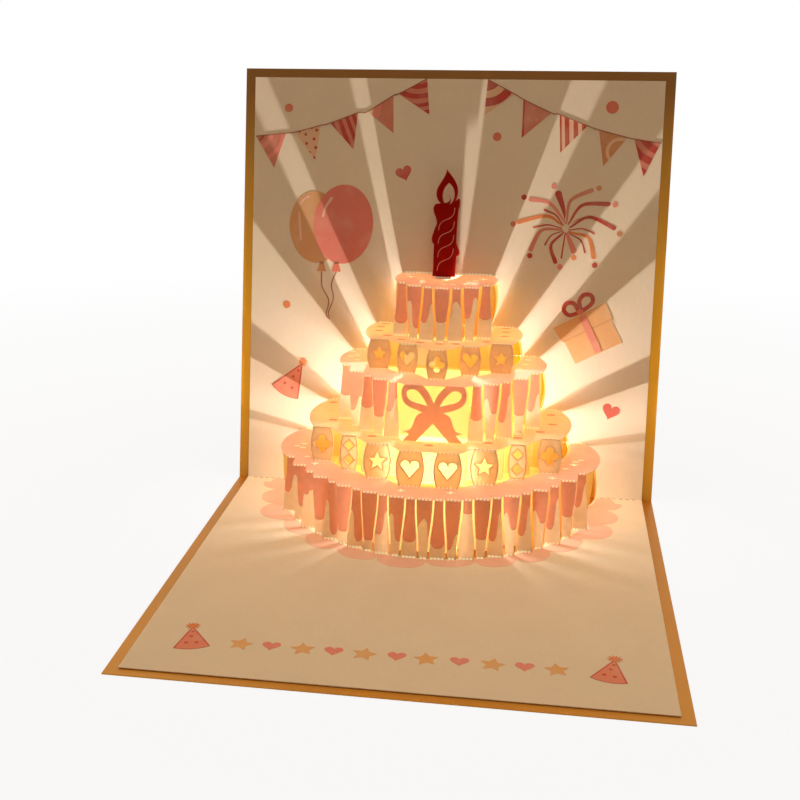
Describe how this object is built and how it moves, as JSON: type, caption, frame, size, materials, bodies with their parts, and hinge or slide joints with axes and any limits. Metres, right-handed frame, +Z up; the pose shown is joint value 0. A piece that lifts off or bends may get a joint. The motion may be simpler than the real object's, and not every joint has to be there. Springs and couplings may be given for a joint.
{
  "type": "pop up card",
  "caption": "Folded greeting card open past a right angle, with a round tiered cut paper cake, a yellow liner, a candle and a small light unit.",
  "frame": {"origin": "middle of the card's footprint, on the surface it stands on", "axes": "+X along the fold to the reader's right, -Y towards the reader, +Z up"},
  "size_m": [0.18, 0.206, 0.1773],
  "materials": {
    "cover_gold": "satin metallic board",
    "sheet_paper": "uncoated",
    "liner_paper": "uncoated",
    "patch_paper": "uncoated",
    "candle_card": "uncoated",
    "pad_foam": "soft",
    "board_green": "satin",
    "cell_steel": "satin",
    "clip_steel": "satin",
    "blob_resin": "satin",
    "led_resin": "clear",
    "lead_metal": "satin",
    "leaf_brass": "satin",
    "tongue_film": "clear"
  },
  "bodies": {
    "root": {"cover": "cover_gold", "inner_sheet": "sheet_paper", "yellow_liner": "liner_paper", "liner_patch": "patch_paper", "candle": "candle_card", "foam_pad": "pad_foam", "circuit_board": "board_green", "coin_cell": "cell_steel", "cell_clip": "clip_steel", "chip_blob": "blob_resin", "led_body": "led_resin", "led_leads": "lead_metal", "contact_leaf": "leaf_brass", "pull_tongue": "tongue_film"}
  },
  "joints": []
}
